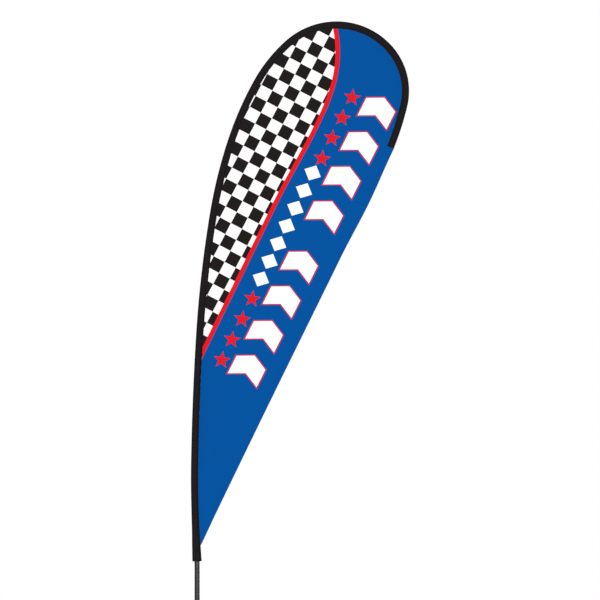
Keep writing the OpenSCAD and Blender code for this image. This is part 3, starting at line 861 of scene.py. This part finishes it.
def anodised():
    """Black anodised tube: a dark metal sheen, with faint draw lines and handling marks."""
    f = Finish("black_anodised_tube", (0.31, 0.31, 0.31), 0.22, Metallic=1.0)
    stretched = f.add("VectorMath", settings=[("operation", "MULTIPLY")], Vector=f.place())
    f.nodes[-1].inputs[1].default_value = (1, 1, 0.02)
    lines = f.add("TexNoise", Vector=stretched, Scale=1600.0, Detail=2.0)
    f.set(f.shader, "Roughness", f.add("MapRange", Value=f.cloud(25 * MM, 4.0),
                                       To_Min=0.18, To_Max=0.27))
    f.set(f.shader, "Base Color", f.mix(f.cloud(60 * MM, 3.0), (0.27, 0.27, 0.273),
                                        (0.345, 0.343, 0.34)))
    return f.wear(f.bump(lines, 0.015 * MM))


ANODISED = anodised()
tube = new_piece("lowest_tube", [p for r in tube_rings for p in r], tube_faces, ANODISED)
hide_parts("base_section")

# %% [markdown]
# ## Finishes of the hardware
# The rest of the flag is real metal, rubber and plastic, and its CAD shapes are right already.
# Each material slot of the frame gets a finish with its own grain: powder paint with orange peel,
# turned steel with lathe rings, wound fibreglass, ribbed webbing.

# %% Hardware finishes
def powder_coat():
    f = Finish("black_powder_coat", (0.022, 0.022, 0.024), 0.45, Specular_IOR_Level=0.5)
    f.set(f.shader, "Base Color", f.mix(f.cloud(30 * MM, 5.0), (0.017, 0.017, 0.018),
                                        (0.036, 0.035, 0.034)))
    f.set(f.shader, "Roughness", f.add("MapRange", Value=f.cloud(9 * MM, 3.0),
                                       To_Min=0.36, To_Max=0.58))
    return f.wear(f.bump(f.cloud(1.6 * MM, 2.0), 0.08 * MM))


def turned_steel(name, colour, low, high, pitch):
    """Metal from a lathe: fine rings round Z, which vary a little in gloss."""
    f = Finish(name, colour, low, Metallic=1.0)
    flat = f.add("VectorMath", settings=[("operation", "MULTIPLY")], Vector=f.place())
    f.nodes[-1].inputs[1].default_value = (0, 0, 1)
    rings_of = f.add("TexNoise", Vector=flat, Scale=1 / pitch, Detail=3.0)
    f.set(f.shader, "Roughness", f.add("MapRange", Value=f.cloud(14 * MM, 3.0),
                                       To_Min=low, To_Max=high))
    f.set(f.shader, "Base Color", uneven(f, f.plain(colour), 20 * MM, 0.10))
    return f.wear(f.bump(rings_of, 0.02 * MM))


def moulded(name, colour, low, high, grain):
    """Moulded plastic or rubber: matt, with a fine spark-eroded grain."""
    f = Finish(name, colour, high, Specular_IOR_Level=0.4)
    f.set(f.shader, "Roughness", f.add("MapRange", Value=f.cloud(8 * MM, 3.0),
                                       To_Min=low, To_Max=high))
    f.set(f.shader, "Base Color", uneven(f, f.plain(colour), 12 * MM, 0.15))
    return f.wear(f.bump(f.cloud(grain, 2.0), 0.04 * MM))


def webbing():
    """Nylon tape: ribs across it, and a little fuzz."""
    f = Finish("black_webbing_tape", (0.02, 0.02, 0.02), 0.85, Specular_IOR_Level=0.2)
    ribs = f.add("TexWave", output=1, settings=[("bands_direction", "Z")], Vector=f.place(),
                 Scale=math.tau / (20 * 1.3 * MM), Distortion=1.0)
    ground = f.mix(f.cloud(4 * MM, 4.0), (0.014, 0.014, 0.015), (0.032, 0.031, 0.031))
    f.set(f.shader, "Base Color", ground)
    return f.wear(f.bump(ribs, 0.2 * MM))


def wound_fibreglass():
    """Black fibreglass: a gloss resin over strands that spiral at a shallow angle."""
    f = Finish("black_fibreglass_rod", (0.03, 0.03, 0.03), 0.3, Specular_IOR_Level=0.5)
    strands = f.add("TexWave", output=1, settings=[("bands_direction", "DIAGONAL")],
                    Vector=f.place(), Scale=math.tau / (20 * 2.5 * MM), Distortion=2.0)
    f.set(f.shader, "Base Color", f.mix(strands, (0.018, 0.018, 0.018), (0.036, 0.036, 0.036)))
    return f.wear(f.bump(strands, 0.03 * MM))


HARDWARE = {
    "black_steel": powder_coat(),
    "bright_steel": turned_steel("zinc_plated_steel", (0.62, 0.61, 0.58), 0.26, 0.42, 0.5 * MM),
    "bearing_steel": turned_steel("ground_bearing_steel", (0.66, 0.66, 0.67), 0.14, 0.24,
                                  0.25 * MM),
    "cage_nylon": moulded("ivory_nylon", (0.62, 0.57, 0.44), 0.4, 0.55, 1.2 * MM),
    "black_rubber": moulded("black_rubber_skin", (0.018, 0.018, 0.018), 0.6, 0.8, 0.7 * MM),
    "black_aluminium": ANODISED,
    "ferrule_aluminium": turned_steel("brushed_aluminium", (0.72, 0.72, 0.73), 0.3, 0.45,
                                      0.4 * MM),
    "black_fibreglass": wound_fibreglass(),
    "black_plastic": moulded("black_plastic_skin", (0.02, 0.02, 0.021), 0.38, 0.55, 0.9 * MM),
    "black_webbing": webbing(),
    "sleeve_cloth": SLEEVE,
    "panel_print": PRINT,
}
dressed = 0
for subpart in nodes.values():
    for place in subpart.material_slots:
        kind = place.material.name.split(".")[0]
        if kind in HARDWARE:
            place.material = HARDWARE[kind]
            dressed += 1
print("material slots dressed:", dressed, "of", sum(len(n.material_slots) for n in nodes.values()))

# %% [markdown]
# ## Welds of the ground base
# The rod, the housing and the two ribs are welded to the foot plate. A weld bead is a row of
# overlapping ripples, so each bead is a thin roll whose size pulses along its run.

# %% Weld beads
plate_low, plate_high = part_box("foot_plate")
housing_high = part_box("bearing_housing")[1]
rod_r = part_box("spike_rod")[1].x
gusset_low, gusset_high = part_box("gussets")


BEAD_SIDES = 10


def bead(name, track, size, closed):
    """Roll of weld along a track of points on the plate, with a ripple every two millimetres."""
    points = []
    n = len(track)
    for k, p in enumerate(track):
        ahead = track[(k + 1) % n] if closed or k + 1 < n else p
        behind = track[k - 1] if closed or k else p
        run = (ahead - behind).normalized()
        side = run.cross(Vector((0, 0, 1))).normalized()
        ripple = 1 + 0.12 * math.sin(math.tau * k / 4) + 0.06 * noise.noise(p * 300)
        if not closed and k in (0, n - 1):
            ripple *= 0.4
        for a in range(BEAD_SIDES):
            turn = a * math.tau / BEAD_SIDES
            points.append(p + (side * math.cos(turn) + Vector((0, 0, 1)) * math.sin(turn))
                          * size * ripple)
    faces = ring_faces(n, BEAD_SIDES, not closed, not closed)
    if closed:
        faces += closing_faces(n, BEAD_SIDES)
    return new_piece(name, points, faces, HARDWARE["black_steel"], "ground_base")


def round_track(radius, height, step=0.5 * MM):
    n = round(math.tau * radius / step)
    return [Vector((radius * math.cos(k * math.tau / n), radius * math.sin(k * math.tau / n),
                    height)) for k in range(n)]


bead("housing_weld", round_track(housing_high.x + 0.3 * MM, plate_high.z), 1.9 * MM, True)
bead("rod_weld", round_track(rod_r + 0.3 * MM, plate_low.z - 0.2 * MM), 1.8 * MM, True)
for side, name in ((1, "back"), (-1, "front")):
    for edge, hand in ((gusset_low.x, "left"), (gusset_high.x, "right")):
        run = [Vector((edge, side * y, plate_high.z)) for y in
               stations(housing_high.x + 2 * MM, gusset_high.y - 1 * MM, 0.5 * MM)]
        bead(f"{name}_rib_weld_{hand}", run, 1.4 * MM, False)

# %% [markdown]
# ## How the cloth was cut
# The flag was cut to the box of its outline; the sleeve was cut as a strip as wide as the way
# round it, which is folded over the pole and sewn.

# %% [markdown]
# ## Stage
# A pale floor under the spike's tip, an even white surround and three large soft lights. The
# surround is plain white where the camera looks straight at it, dimmer as a light source and
# almost dark in reflections, so that black tubes keep their dark edges.

# %% Stage and lights
FLOOR_R = 3.0
floor_z = cad_box[0].z - 1 * MM
sides = 96
rings_n = 12
disc = [Vector((0.4, 0, floor_z))]
for r in range(1, rings_n + 1):
    disc += [Vector((0.4 + FLOOR_R * r / rings_n * math.cos(k * math.tau / sides),
                     FLOOR_R * r / rings_n * math.sin(k * math.tau / sides), floor_z))
             for k in range(sides)]
disc_faces = [(0, 1 + k, 1 + (k + 1) % sides) for k in range(sides)]
for r in range(rings_n - 1):
    a = 1 + r * sides
    disc_faces += [(a + k, a + sides + k, a + sides + (k + 1) % sides, a + (k + 1) % sides)
                   for k in range(sides)]
floor_finish = Finish("pale_floor", (0.84, 0.84, 0.83), 0.8)
floor_finish.set(floor_finish.shader, "Base Color", floor_finish.mix(
    floor_finish.cloud(0.15, 6.0), (0.82, 0.82, 0.81), (0.87, 0.87, 0.86)))
floor_mesh = bpy.data.meshes.new("floor")
floor_mesh.from_pydata([tuple(p) for p in disc], [], disc_faces)
floor_mesh.materials.append(floor_finish.material)
floor = bpy.data.objects.new("floor", floor_mesh)
bpy.context.scene.collection.objects.link(floor)

world = bpy.data.worlds.new("studio")
world.use_nodes = True
bpy.context.scene.world = world
tree = world.node_tree
seen = tree.nodes.new("ShaderNodeLightPath")
strength = tree.nodes.new("ShaderNodeMapRange")
strength.inputs["To Min"].default_value = 0.36
strength.inputs["To Max"].default_value = 1.0
tree.links.new(seen.outputs["Is Camera Ray"], strength.inputs["Value"])
reflected = tree.nodes.new("ShaderNodeMath")
reflected.operation = "MULTIPLY_ADD"
reflected.inputs[1].default_value = -0.30
tree.links.new(seen.outputs["Is Glossy Ray"], reflected.inputs[0])
tree.links.new(strength.outputs[0], reflected.inputs[2])
tree.nodes["Background"].inputs["Color"].default_value = (1, 1, 1, 1)
tree.links.new(reflected.outputs[0], tree.nodes["Background"].inputs["Strength"])

SOFTBOXES = {"left": ((-4.1, -7.9, 3.6), 365), "right": ((4.4, -8.1, 3.0), 325),
             "behind": ((1.0, 8.5, 4.0), 600)}
for name, (where, watts) in SOFTBOXES.items():
    lamp = bpy.data.lights.new("softbox_" + name, "AREA")
    lamp.shape = "RECTANGLE"
    lamp.size = 2.6
    lamp.size_y = 3.6
    lamp.energy = watts
    holder = bpy.data.objects.new("softbox_" + name, lamp)
    bpy.context.scene.collection.objects.link(holder)
    holder.location = where
    holder.rotation_euler = (VIEW_CENTRE - Vector(where)).to_track_quat("-Z", "Y").to_euler()
    holder.visible_camera = False
    holder.visible_glossy = name != "behind"
bpy.context.scene.view_settings.view_transform = "Standard"
print("stage ready, floor at", round(floor_z, 3))
